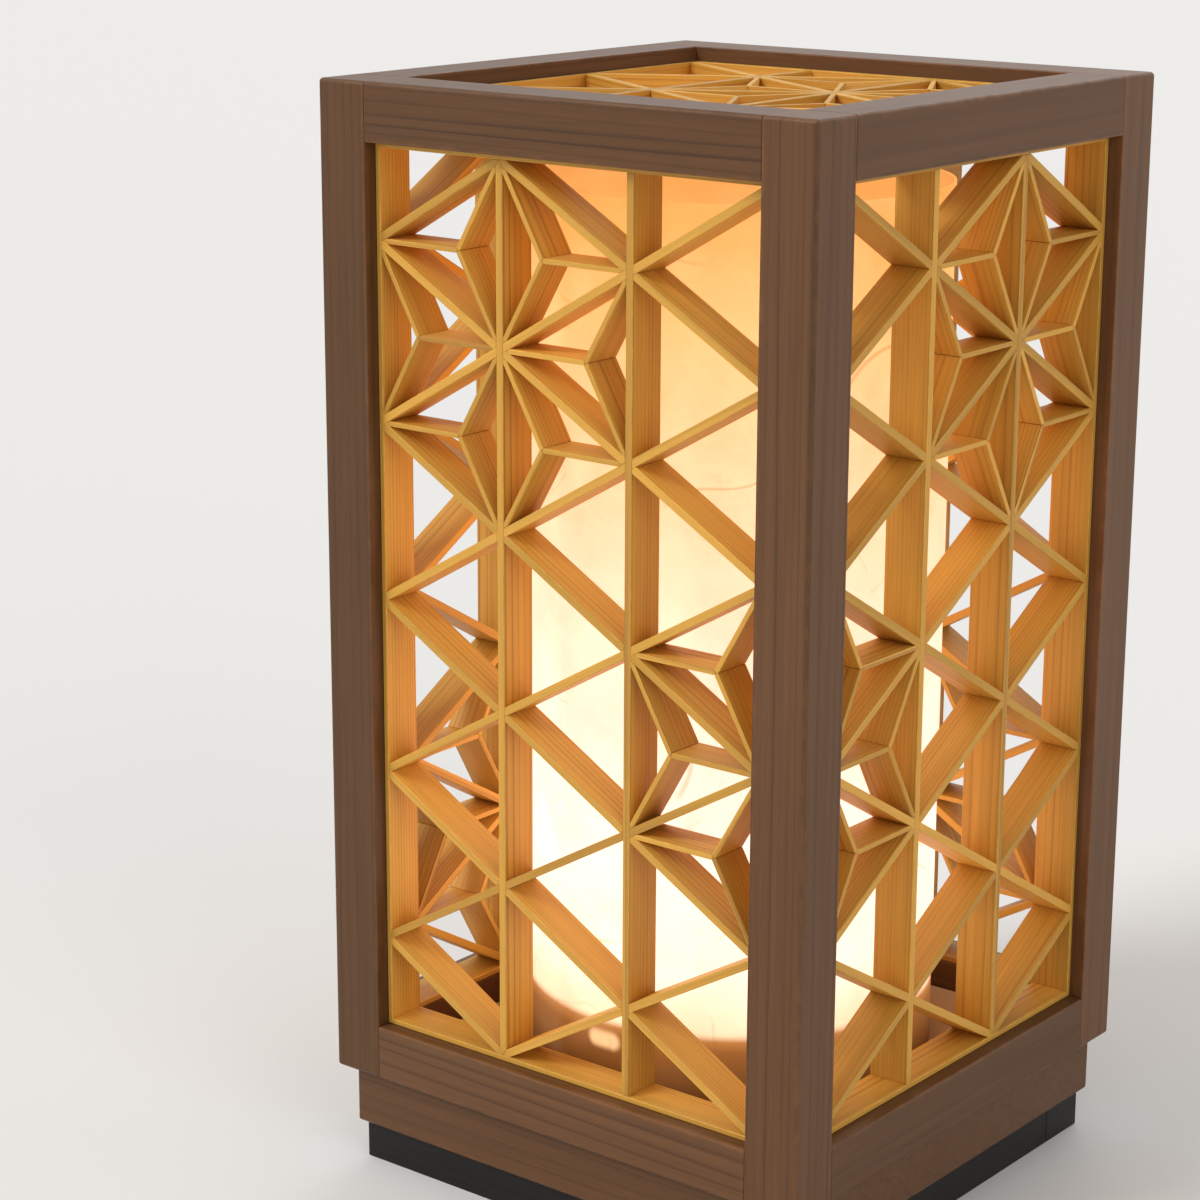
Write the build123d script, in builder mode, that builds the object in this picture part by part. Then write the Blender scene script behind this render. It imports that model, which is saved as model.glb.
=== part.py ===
"""Andon table lamp: a timber frame filled with kumiko lattice, lifted off over a paper cylinder.

The lamp stands on z = 0 with its axis on Z. The front is -Y, the right side +X.
Each lattice panel is a triangular grid of slats, halved into each other by thirds of their
depth. Some of its triangles hold three thin leaves that meet in the middle: these make the
asanoha stars.
"""

import os
from dataclasses import dataclass
from math import cos, radians, tan

from build123d import *

# ------------------------------------------------------------------ lattice, mm
pitch = 40.0  # side of one lattice triangle
columns = 3  # columns of triangles across a panel
side_rows = 5  # triangle sides up a side panel
top_rows = 2.5  # triangle sides along the top panel
slat_thickness = 1.8
leaf_thickness = 1.1
edge_thickness = 1.2  # slats that border a side panel
slat_gap = 0.05  # between the border slats at a corner
leaf_gap = 0.05  # at either end of a leaf
panel_fit = 0.05  # panel to frame, all round
panel_setback = 0.1  # back of a panel to the inner face of the frame
triangle_angle = 60.0
slope = triangle_angle / 2  # degrees between a sloping slat and the level

# ------------------------------------------------------------------ frame, mm
post_size = 13.2  # square section of a post, and depth of a rail
rail_height = 12.9
reveal = 3.5  # lattice behind the frame's outer faces
tenon_length = 4.0
tenon_thickness = 5.0
tenon_height = 7.0
tenon_fit = 0.02  # tenon to mortise, on every face
arris = 0.6  # chamfer on outer timber edges

# ------------------------------------------------------------------ base, mm
plinth_height = 9.2
plinth_width = 14.0
plinth_inset = 1.7  # plinth behind the edge of the base board
board_thickness = 14.2
board_inset = 3.2  # base board behind the frame's outer faces
locator_thickness = 6.0
locator_gap = 0.3  # locating board to the inside of the frame
wiring_hole_radius = 4.0
ring_height = 16.2
ring_wall = 4.0
vent_width = 8.0
vent_height = 3.4
vent_drop = 2.5  # rim of the ring to the top of its vents

# ------------------------------------------------------------------ paper cylinder, mm
paper_radius = 47.2
paper_wall = 0.6
paper_gap = 0.3  # paper to the ring inside it
paper_headroom = 8.9  # paper to the underside of the top panel

# ------------------------------------------------------------------ lamp holder, mm
flange_radius = 20.0
flange_thickness = 4.0
holder_radius = 12.5
holder_height = 21.0
socket_depth = 17.0
shell_wall = 0.4
shell_drop = 1.0  # rim of the holder to its shell
contact_radius = 3.5
contact_thickness = 0.8
wire_hole_radius = 1.0
wire_hole_spread = 5.0  # holder's axis to a wire hole
screw_radius = 1.5
screw_length = 12.0
screw_head_radius = 3.0
screw_head_height = 2.0
screw_slot = 0.8  # width and depth of the driving slot
screw_spread = 16.0  # holder's axis to a screw
pilot_spare = 0.3  # hole beyond the end of a screw
hole_clearance = 0.1  # round a screw, a shell or a bush

# ------------------------------------------------------------------ bulb, mm
cap_radius = 8.3
cap_wall = 0.4
cap_clearance = 0.3  # cap to the shell round it
insulator_height = 3.0
insulator_foot_radius = 4.0
tip_radius = 3.0
tip_height = 1.4
glass_radius = 14.0
glass_height = 44.0
glass_wall = 0.7
glass_gap = 0.4  # glass above the holder's rim
neck_radius = 9.4
neck_height = 2.0
shoulder_height = 5.0
crown = 3.0  # slope round the top of the glass
spigot_length = 3.0  # glass held inside the cap
stem_radius = 4.0
stem_height = 12.0  # stem above the foot of the glass
filament_radius = 0.4
filament_height = 24.0  # filament above the foot of the glass
lead_radius = 0.3
lead_spread = 3.0  # bulb's axis to a lead

# ------------------------------------------------------------------ cord inlet, mm
cord_bore_radius = 2.6
bush_wall = 0.9
bush_flange = 0.8  # flange beyond the barrel
bush_flange_thickness = 1.2

# ------------------------------------------------------------------ sizes that follow
column_width = pitch * cos(radians(slope))
panel_half = columns * column_width / 2
panel_inner_half = panel_half - edge_thickness
window_half = panel_half + panel_fit
frame_half = window_half + post_size
post_centre = window_half + post_size / 2
slat_depth = post_size - reveal - panel_setback
third = slat_depth / 3

shade_bottom = plinth_height + board_thickness
window_bottom = shade_bottom + rail_height
window_height = side_rows * pitch + 2 * edge_thickness + 2 * panel_fit
window_top = window_bottom + window_height
frame_top = window_top + rail_height
frame_height = frame_top - shade_bottom
side_centre = window_bottom + window_height / 2
lattice_half = frame_half - reveal
lattice_top = frame_top - reveal
top_end_thickness = panel_half - top_rows * pitch / 2
rail_levels = {
    "bottom_rail": window_bottom - rail_height / 2,
    "top_rail": window_top + rail_height / 2,
}

board_half = frame_half - board_inset
plinth_half = board_half - plinth_inset
locator_half = window_half - locator_gap
floor_level = shade_bottom + locator_thickness
ring_radius = paper_radius - paper_wall - paper_gap
vent_level = floor_level + ring_height - vent_drop - vent_height / 2
paper_top = lattice_top - slat_depth - paper_headroom

flange_top = floor_level + flange_thickness
holder_top = floor_level + holder_height
socket_bottom = holder_top - socket_depth
shell_inner_radius = cap_radius + cap_clearance
shell_radius = shell_inner_radius + shell_wall
socket_radius = shell_radius + hole_clearance
screw_hole_radius = screw_radius + hole_clearance
pilot_bottom = flange_top - screw_length - pilot_spare

tip_bottom = socket_bottom + contact_thickness
insulator_bottom = tip_bottom + tip_height
cap_bottom = insulator_bottom + insulator_height
glass_bottom = holder_top + glass_gap
spigot_radius = cap_radius - cap_wall
spigot_bottom = glass_bottom - spigot_length
stem_top = glass_bottom + stem_height
filament_level = glass_bottom + filament_height
bush_radius = cord_bore_radius + bush_wall
bush_hole_radius = bush_radius + hole_clearance


# ------------------------------------------------------------------ sides of the frame
@dataclass
class Side:
    """One side of the lamp, with x to the right and y upwards as seen from outside."""

    name: str
    across: tuple
    outward: tuple

    def plane(self, distance, level):
        """The plane at a distance from the lamp's axis, with its origin at a height."""
        origin = Vector(*self.outward) * distance + Vector(0, 0, level)
        return Plane(origin=origin, x_dir=self.across, z_dir=self.outward)


front = Side("front", (1, 0, 0), (0, -1, 0))
right = Side("right", (0, 1, 0), (1, 0, 0))
back = Side("back", (-1, 0, 0), (0, 1, 0))
left = Side("left", (0, -1, 0), (-1, 0, 0))
sides = (front, right, back, left)
corners = {
    "front_left": (-1, -1),
    "front_right": (1, -1),
    "back_left": (-1, 1),
    "back_right": (1, 1),
}


# ------------------------------------------------------------------ lattice panels
@dataclass
class Panel:
    """A lattice panel: its outer face, its size, the way round it stands, and its stars.

    A crossing is a (column, row) pair. Crossings fall on whole rows in odd columns and on
    half rows in even ones.
    """

    name: str
    face: Plane
    rows: float
    end_thickness: float  # border slats across the ends of the rows
    turn_across: int  # -1 mirrors the pattern left to right
    turn_up: int  # -1 mirrors the pattern top to bottom
    stars: tuple  # crossings at the middle of each star

    def crossings(self, spare=0.0):
        """Every crossing, and those up to some spare rows beyond the ends."""
        half_rows = range(-1, round(2 * self.rows) + 2)
        return [
            (column, half_row / 2)
            for column in range(columns + 1)
            for half_row in half_rows
            if (column + half_row) % 2 and -spare <= half_row / 2 <= self.rows + spare
        ]

    def inner_crossings(self):
        """Places where three slats cross, clear of the border."""
        return [
            self.place((column, row))
            for column, row in self.crossings()
            if 0 < column < columns and 0 < row < self.rows
        ]

    def place(self, crossing):
        """Where a crossing lies on the panel's face."""
        column, row = crossing
        across = (column - columns / 2) * column_width * self.turn_across
        up = (row - self.rows / 2) * pitch * self.turn_up
        return Vector(across, up)

    def angle(self, family):
        """Direction of a family of slats, in degrees from the level."""
        tilt = slope * self.turn_across * self.turn_up
        return {"upright": 90, "rising": tilt, "falling": -tilt}[family]

    def lines(self, family):
        """The two ends of every slat of a family.

        An upright without a crossing at its end runs on to the next one; the border trims it.
        """
        found = {}
        if family == "upright":
            for column, row in self.crossings(spare=1 / 2):
                if 0 < column < columns:
                    found.setdefault(column, []).append((column, row))
        else:
            rise = {"rising": 1 / 2, "falling": -1 / 2}[family]
            for column, row in self.crossings():
                found.setdefault(row - rise * column, []).append((column, row))
        return [(line[0], line[-1]) for line in found.values() if len(line) > 1]

    def triangles(self, star):
        """The triangles of the grid round a star's middle that lie inside the panel."""
        column, row = star
        ring = [(0, 1), (1, 1 / 2), (1, -1 / 2), (0, -1), (-1, -1 / 2), (-1, 1 / 2)]
        points = [(column + across, row + up) for across, up in ring]
        inside = set(self.crossings())
        pairs = zip(points, points[1:] + points[:1])
        return [(star, first, second) for first, second in pairs if {first, second} <= inside]

    def leaves(self, triangle):
        """The two ends of each leaf in a triangle: from its clear corners to its middle."""
        margins = []
        for corner in triangle:
            line = {other[0] for other in triangle if other != corner}
            on_border = line in ({0}, {columns})
            margins.append(edge_thickness if on_border else slat_thickness / 2)
        clear = column_width - sum(margins)

        def point(distances):
            """The point at given distances from the sides that face each corner."""
            shares = [distance / column_width for distance in distances]
            places = [self.place(corner) * share for corner, share in zip(triangle, shares)]
            return places[0] + places[1] + places[2]

        middle = point([margin + clear / 3 for margin in margins])
        ends = []
        for index in range(len(triangle)):
            distances = list(margins)
            distances[index] += clear
            ends.append((point(distances), middle))
        return ends


def side_panel(side, turn_across, turn_up):
    """The lattice panel of one side, with its pattern turned across and up."""
    face = side.plane(lattice_half, side_centre)
    stars = ((1, 4), (3, 2))
    return Panel(side.name, face, side_rows, edge_thickness, turn_across, turn_up, stars)


def top_panel():
    """The lattice panel of the top."""
    face = Plane.XY.offset(lattice_top)
    stars = ((2, 3 / 2),)
    return Panel("top", face, top_rows, top_end_thickness, 1, 1, stars)


panels = (
    side_panel(front, 1, 1),
    side_panel(right, -1, 1),
    side_panel(back, 1, -1),
    side_panel(left, -1, -1),
    top_panel(),
)


def pointed_bar(start, end, thickness, end_angle):
    """Draw a thin bar, with the lattice's own angle at its start and another at its end."""
    along = (end - start).normalized()
    aside = along.rotate(Axis.Z, 90) * (thickness / 2)
    shoulder = along * (thickness / 2 / tan(radians(triangle_angle / 2)))
    end_shoulder = along * (thickness / 2 / tan(radians(end_angle / 2)))
    outline = (
        start,
        start + shoulder - aside,
        end - end_shoulder - aside,
        end,
        end - end_shoulder + aside,
        start + shoulder + aside,
    )
    Polygon(*[(point.X, point.Y) for point in outline], align=None)


def save(piece, name):
    """Label a finished piece and write its file."""
    piece.label = name
    export_step(piece, f"parts/{name}.step")


def make_slats(panel, family, notches):
    """Make a family of slats: mitred at the border, notched where the other two cross it.

    Each notch is (top, bottom, other families), in thirds of the slat's depth from the face.
    """
    with BuildPart() as slats:
        with BuildSketch(panel.face):
            for start, end in panel.lines(family):
                pointed_bar(panel.place(start), panel.place(end), slat_thickness, triangle_angle)
            Rectangle(2 * panel_inner_half, panel.rows * pitch, mode=Mode.INTERSECT)
        extrude(amount=-slat_depth)
        for top, bottom, others in notches:
            with BuildSketch(panel.face.offset(-top * third)):
                for other in others:
                    with Locations(*panel.inner_crossings()):
                        Rectangle(2 * slat_thickness, slat_thickness, rotation=panel.angle(other))
            extrude(amount=(top - bottom) * third, mode=Mode.SUBTRACT)
    save(slats.part, f"{panel.name}_{family}_slats")


def make_border(panel):
    """Make the four thin slats that border a panel."""
    side_middle = panel_half - edge_thickness / 2
    end_middle = (panel.rows * pitch + panel.end_thickness) / 2
    with BuildPart() as border:
        with BuildSketch(panel.face):
            with Locations((-side_middle, 0), (side_middle, 0)):
                Rectangle(edge_thickness, panel.rows * pitch + 2 * panel.end_thickness)
            with Locations((0, -end_middle), (0, end_middle)):
                Rectangle(2 * (panel_inner_half - slat_gap), panel.end_thickness)
        extrude(amount=-slat_depth)
    save(border.part, f"{panel.name}_border_slats")


def make_leaves(panel):
    """Make the thin leaves of a panel's stars, three to a triangle."""
    with BuildPart() as leaves:
        with BuildSketch(panel.face):
            for star in panel.stars:
                for triangle in panel.triangles(star):
                    for corner, middle in panel.leaves(triangle):
                        gap = (middle - corner).normalized() * leaf_gap
                        pointed_bar(corner + gap, middle - gap, leaf_thickness, 2 * triangle_angle)
        extrude(amount=-slat_depth)
    save(leaves.part, f"{panel.name}_star_leaves")


# ------------------------------------------------------------------ frame
with BuildPart() as envelope:
    with BuildSketch(Plane.XY.offset(shade_bottom)):
        Rectangle(2 * frame_half, 2 * frame_half)
    extrude(amount=frame_height)
    chamfer(envelope.edges(), arris)


mortise_face = post_centre + tenon_thickness / 2 + tenon_fit
mortise_reach = window_half + tenon_length + tenon_fit

with BuildPart() as mortises:
    for mortise_side in sides:
        for mortise_level in rail_levels.values():
            with BuildSketch(mortise_side.plane(mortise_face, mortise_level)):
                Rectangle(2 * mortise_reach, tenon_height + 2 * tenon_fit)
            extrude(amount=-(tenon_thickness + 2 * tenon_fit))


def make_post(name, across, along):
    """Make a corner post with mortises for the rails of both its sides."""
    with BuildPart() as post:
        with BuildSketch(Plane.XY.offset(shade_bottom)):
            with Locations((across * post_centre, along * post_centre)):
                Rectangle(post_size, post_size)
        extrude(amount=frame_height)
        add(envelope.part, mode=Mode.INTERSECT)
        add(mortises.part, mode=Mode.SUBTRACT)
    save(post.part, f"{name}_post")


def make_rail(side, name, level):
    """Make a rail between two posts, with a stub tenon at either end."""
    with BuildPart() as rail:
        with BuildSketch(side.plane(frame_half, level)):
            Rectangle(2 * window_half, rail_height)
        extrude(amount=-post_size)
        with BuildSketch(side.plane(post_centre + tenon_thickness / 2, level)):
            Rectangle(2 * (window_half + tenon_length), tenon_height)
        extrude(amount=-tenon_thickness)
        add(envelope.part, mode=Mode.INTERSECT)
    save(rail.part, f"{side.name}_{name}")


# ------------------------------------------------------------------ base
def screw_circles(radius):
    """Draw a circle at each of the lamp holder's two screws."""
    with Locations((-screw_spread, 0), (screw_spread, 0)):
        Circle(radius)


def make_board(name, half, bottom, thickness, pilot_level):
    """Make a square board with eased edges, a wiring hole and holes for the holder's screws."""
    with BuildPart() as board:
        with BuildSketch(Plane.XY.offset(bottom)):
            Rectangle(2 * half, 2 * half)
        extrude(amount=thickness)
        chamfer(board.edges(), arris)
        with BuildSketch(Plane.XY.offset(bottom)):
            Circle(wiring_hole_radius)
        extrude(amount=thickness, mode=Mode.SUBTRACT)
        with BuildSketch(Plane.XY.offset(pilot_level)):
            screw_circles(screw_hole_radius)
        extrude(amount=bottom + thickness - pilot_level, mode=Mode.SUBTRACT)
    save(board.part, name)


def make_plinth_rail(side, half_length, has_inlet):
    """Make a rail of the plinth; one of them has the hole for the cord's bush."""
    with BuildPart() as rail:
        with BuildSketch(side.plane(plinth_half, plinth_height / 2)):
            Rectangle(2 * half_length, plinth_height)
            if has_inlet:
                Circle(bush_hole_radius, mode=Mode.SUBTRACT)
        extrude(amount=-plinth_width)
    save(rail.part, f"{side.name}_plinth_rail")


def make_tube(name, outer, wall, bottom, height):
    """Make a plain tube on the lamp's axis."""
    with BuildPart() as tube:
        with BuildSketch(Plane.XY.offset(bottom)):
            Circle(outer)
            Circle(outer - wall, mode=Mode.SUBTRACT)
        extrude(amount=height)
    save(tube.part, name)


def make_disc(name, radius, bottom, height):
    """Make a plain disc on the lamp's axis."""
    with BuildPart() as disc:
        with BuildSketch(Plane.XY.offset(bottom)):
            Circle(radius)
        extrude(amount=height)
    save(disc.part, name)


os.makedirs("parts", exist_ok=True)

for corner_name, (corner_across, corner_along) in corners.items():
    make_post(corner_name, corner_across, corner_along)
for frame_side in sides:
    for rail_name, rail_level in rail_levels.items():
        make_rail(frame_side, rail_name, rail_level)

for lattice in panels:
    make_border(lattice)
    make_slats(lattice, "upright", [(1, 3, ("rising", "falling"))])
    make_slats(lattice, "rising", [(0, 1, ("upright",)), (2, 3, ("falling",))])
    make_slats(lattice, "falling", [(0, 2, ("upright", "rising"))])
    make_leaves(lattice)

make_board("base_board", board_half, plinth_height, board_thickness, pilot_bottom)
make_board("locating_board", locator_half, shade_bottom, locator_thickness, shade_bottom)
make_plinth_rail(front, plinth_half, False)
make_plinth_rail(back, plinth_half, True)
make_plinth_rail(left, plinth_half - plinth_width, False)
make_plinth_rail(right, plinth_half - plinth_width, False)

with BuildPart() as cord_bush:
    with BuildSketch(back.plane(plinth_half - plinth_width, plinth_height / 2)):
        Circle(bush_radius)
    extrude(amount=plinth_width)
    with BuildSketch(back.plane(plinth_half, plinth_height / 2)):
        Circle(bush_radius + bush_flange)
    extrude(amount=bush_flange_thickness)
    with BuildSketch(back.plane(plinth_half - plinth_width, plinth_height / 2)):
        Circle(cord_bore_radius)
    extrude(amount=plinth_width + bush_flange_thickness, mode=Mode.SUBTRACT)
save(cord_bush.part, "cord_bush")

# ------------------------------------------------------------------ vent ring and paper
with BuildPart() as vent_ring:
    with BuildSketch(Plane.XY.offset(floor_level)):
        Circle(ring_radius)
        Circle(ring_radius - ring_wall, mode=Mode.SUBTRACT)
    extrude(amount=ring_height)
    for vent_side in sides:
        with BuildSketch(vent_side.plane(ring_radius + ring_wall / 2, vent_level)):
            SlotOverall(vent_width, vent_height)
        extrude(amount=-2 * ring_wall, mode=Mode.SUBTRACT)
save(vent_ring.part, "vent_ring")

make_tube("paper_cylinder", paper_radius, paper_wall, floor_level, paper_top - floor_level)

# ------------------------------------------------------------------ lamp holder
with BuildPart() as lamp_holder:
    with BuildSketch(Plane.XY.offset(floor_level)):
        Circle(flange_radius)
    extrude(amount=flange_thickness)
    with BuildSketch(Plane.XY.offset(floor_level)):
        Circle(holder_radius)
    extrude(amount=holder_height)
    with BuildSketch(Plane.XY.offset(holder_top)):
        Circle(socket_radius)
    extrude(amount=-socket_depth, mode=Mode.SUBTRACT)
    with BuildSketch(Plane.XY.offset(floor_level)):
        with Locations((-wire_hole_spread, 0), (wire_hole_spread, 0)):
            Circle(wire_hole_radius)
    extrude(amount=flange_thickness, mode=Mode.SUBTRACT)
    with BuildSketch(Plane.XY.offset(floor_level)):
        screw_circles(screw_hole_radius)
    extrude(amount=flange_thickness, mode=Mode.SUBTRACT)
save(lamp_holder.part, "lamp_holder")

make_tube("holder_shell", shell_radius, shell_wall, socket_bottom, socket_depth - shell_drop)
make_disc("centre_contact", contact_radius, socket_bottom, contact_thickness)

with BuildPart() as holder_screws:
    with BuildSketch(Plane.XY.offset(flange_top)):
        screw_circles(screw_radius)
    extrude(amount=-screw_length)
    with BuildSketch(Plane.XY.offset(flange_top)):
        screw_circles(screw_head_radius)
    extrude(amount=screw_head_height)
    with BuildSketch(Plane.XY.offset(flange_top + screw_head_height)):
        with Locations((-screw_spread, 0), (screw_spread, 0)):
            Rectangle(2 * screw_head_radius, screw_slot)
    extrude(amount=-screw_slot, mode=Mode.SUBTRACT)
save(holder_screws.part, "holder_screws")

# ------------------------------------------------------------------ bulb
make_disc("bulb_tip", tip_radius, tip_bottom, tip_height)
make_tube("bulb_cap", cap_radius, cap_wall, cap_bottom, glass_bottom - cap_bottom)

with BuildPart() as bulb_insulator:
    with Locations((0, 0, insulator_bottom)):
        Cone(
            insulator_foot_radius,
            cap_radius,
            insulator_height,
            align=(Align.CENTER, Align.CENTER, Align.MIN),
        )
save(bulb_insulator.part, "bulb_insulator")


def glass_outline(inset):
    """Half the outline of the glass, from its open foot to its crown, set in from its outside."""
    shoulder_bottom = glass_bottom + neck_height
    glass_top = glass_bottom + glass_height
    return (
        (0, spigot_bottom),
        (spigot_radius - inset, spigot_bottom),
        (spigot_radius - inset, glass_bottom + inset),
        (neck_radius - inset, glass_bottom + inset),
        (neck_radius - inset, shoulder_bottom),
        (glass_radius - inset, shoulder_bottom + shoulder_height),
        (glass_radius - inset, glass_top - crown),
        (glass_radius - crown, glass_top - inset),
        (0, glass_top - inset),
    )


with BuildPart() as bulb_glass:
    with BuildSketch(Plane.XZ):
        Polygon(*glass_outline(0), align=None)
        Polygon(*glass_outline(glass_wall), align=None, mode=Mode.SUBTRACT)
    revolve(axis=Axis.Z)
save(bulb_glass.part, "bulb_glass")

with BuildPart() as bulb_stem:
    with BuildSketch(Plane.XY.offset(spigot_bottom)):
        Circle(spigot_radius - glass_wall)
    extrude(amount=glass_wall)
    with BuildSketch(Plane.XY.offset(spigot_bottom)):
        Circle(stem_radius)
    extrude(amount=stem_top - spigot_bottom)
save(bulb_stem.part, "bulb_stem")

with BuildPart() as bulb_leads:
    with BuildSketch(Plane.XY.offset(stem_top)):
        with Locations((-lead_spread, 0), (lead_spread, 0)):
            Circle(lead_radius)
    extrude(amount=filament_level - filament_radius - stem_top)
save(bulb_leads.part, "bulb_leads")

with BuildPart() as bulb_filament:
    with BuildSketch(Plane.YZ.offset(-lead_spread - lead_radius)):
        with Locations((0, filament_level)):
            Circle(filament_radius)
    extrude(amount=2 * (lead_spread + lead_radius))
save(bulb_filament.part, "bulb_filament")
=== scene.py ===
"""Finish of a kumiko andon lamp: timbers, paper, bulb, holder, materials and a plain stage."""

import math
import random

import bmesh
import bpy
from bpy.props import FloatProperty, FloatVectorProperty, IntProperty, PointerProperty
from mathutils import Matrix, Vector


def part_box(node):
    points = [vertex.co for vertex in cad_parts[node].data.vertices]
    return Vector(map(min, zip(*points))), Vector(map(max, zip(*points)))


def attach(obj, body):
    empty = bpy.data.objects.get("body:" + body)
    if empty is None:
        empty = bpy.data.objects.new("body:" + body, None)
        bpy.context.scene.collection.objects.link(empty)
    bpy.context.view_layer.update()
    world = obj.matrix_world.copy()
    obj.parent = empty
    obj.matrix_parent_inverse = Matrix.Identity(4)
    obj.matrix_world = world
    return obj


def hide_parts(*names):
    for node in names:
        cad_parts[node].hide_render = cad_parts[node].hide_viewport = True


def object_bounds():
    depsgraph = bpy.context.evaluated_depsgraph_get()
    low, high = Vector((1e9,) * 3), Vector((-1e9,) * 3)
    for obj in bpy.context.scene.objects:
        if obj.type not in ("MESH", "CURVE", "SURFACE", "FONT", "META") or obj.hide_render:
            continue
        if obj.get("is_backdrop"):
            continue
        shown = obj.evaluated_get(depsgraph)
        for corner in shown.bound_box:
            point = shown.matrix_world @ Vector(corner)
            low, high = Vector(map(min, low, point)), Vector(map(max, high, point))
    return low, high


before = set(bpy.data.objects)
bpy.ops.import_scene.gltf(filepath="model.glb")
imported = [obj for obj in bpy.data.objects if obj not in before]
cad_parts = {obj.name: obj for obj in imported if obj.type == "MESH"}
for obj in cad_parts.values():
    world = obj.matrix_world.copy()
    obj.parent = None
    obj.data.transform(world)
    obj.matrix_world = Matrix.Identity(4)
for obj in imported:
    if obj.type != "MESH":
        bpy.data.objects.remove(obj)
cad_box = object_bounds()

bl_info = {
    "name": "Kumiko Andon Lamp",
    "version": (1, 0, 0),
    "blender": (4, 5, 0),
    "location": "3D View > Sidebar > Andon",
    "description": "Builds the timbers, lattice, paper, bulb and fittings of a kumiko andon lamp",
    "category": "Add Mesh",
}

MM = 0.001
WELD = 0.001 * MM  # vertices closer than this are one
X, Y, Z = Vector((1, 0, 0)), Vector((0, 1, 0)), Vector((0, 0, 1))

SIDES = ("front", "right", "back", "left")
CORNERS = ("front_left", "front_right", "back_left", "back_right")
PANELS = SIDES + ("top",)
SLATS = ("border_slats", "upright_slats", "rising_slats", "falling_slats")
OUTWARD = {"front": Y, "back": Y, "left": X, "right": X, "top": Z}


# ---------------------------------------------------------------- settings
def length(name, description, default):
    """A setting in metres."""
    return FloatProperty(
        name=name, description=description, default=default, unit="LENGTH", precision=5
    )


def steps(name, description, default, least):
    """A setting for the number of steps round a piece."""
    return IntProperty(name=name, description=description, default=default, min=least)


def colour(name, description, default):
    """A colour setting."""
    return FloatVectorProperty(
        name=name, description=description, default=default, size=3, subtype="COLOR", min=0, max=1
    )


class AndonSizes(bpy.types.PropertyGroup):
    """Sizes of the finish that the frame doesn't fix."""

    frame_easing: length("Frame easing", "Rounding of the frame's and base's edges", 0.30 * MM)
    slat_easing: length("Slat easing", "Rounding of the lattice slats' edges", 0.12 * MM)
    leaf_easing: length("Leaf easing", "Rounding of the star leaves' edges", 0.08 * MM)
    holder_easing: length("Holder easing", "Rounding of the lamp holder's edges", 0.35 * MM)
    turn_steps: steps("Turn steps", "Steps round a turned piece", 96, 24)
    paper_steps: steps("Paper steps", "Steps round the paper", 192, 48)
    paper_waver: length("Paper waver", "How far the paper strays from a cylinder", 0.10 * MM)


class AndonColours(bpy.types.PropertyGroup):
    """Colours of the lamp's finishes."""

    hinoki_early: colour("Hinoki", "Pale wood of the lattice", (0.63, 0.33, 0.050))
    hinoki_late: colour("Hinoki rings", "Ring lines of the lattice", (0.31, 0.130, 0.020))
    cedar_early: colour("Cedar", "Wood of the frame and base board", (0.125, 0.054, 0.019))
    cedar_late: colour("Cedar rings", "Ring lines of the frame", (0.048, 0.019, 0.007))
    plain_early: colour("Base wood", "Wood inside the lamp", (0.62, 0.43, 0.25))
    plain_late: colour("Base wood rings", "Ring lines of the wood inside", (0.42, 0.25, 0.12))
    # The plinth's wood is near black.
    black_early: colour("Near black", "Near-black wood of the plinth", (0.014, 0.012, 0.011))
    black_late: colour("Near black rings", "Ring lines of the plinth", (0.006, 0.005, 0.005))
    paper: colour("Washi", "Unlit paper", (0.36, 0.29, 0.19))
    ceramic: colour("Ceramic", "Glaze of the lamp holder", (0.82, 0.80, 0.75))
    floor: colour("Floor", "Pale floor", (0.80, 0.79, 0.77))


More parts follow.
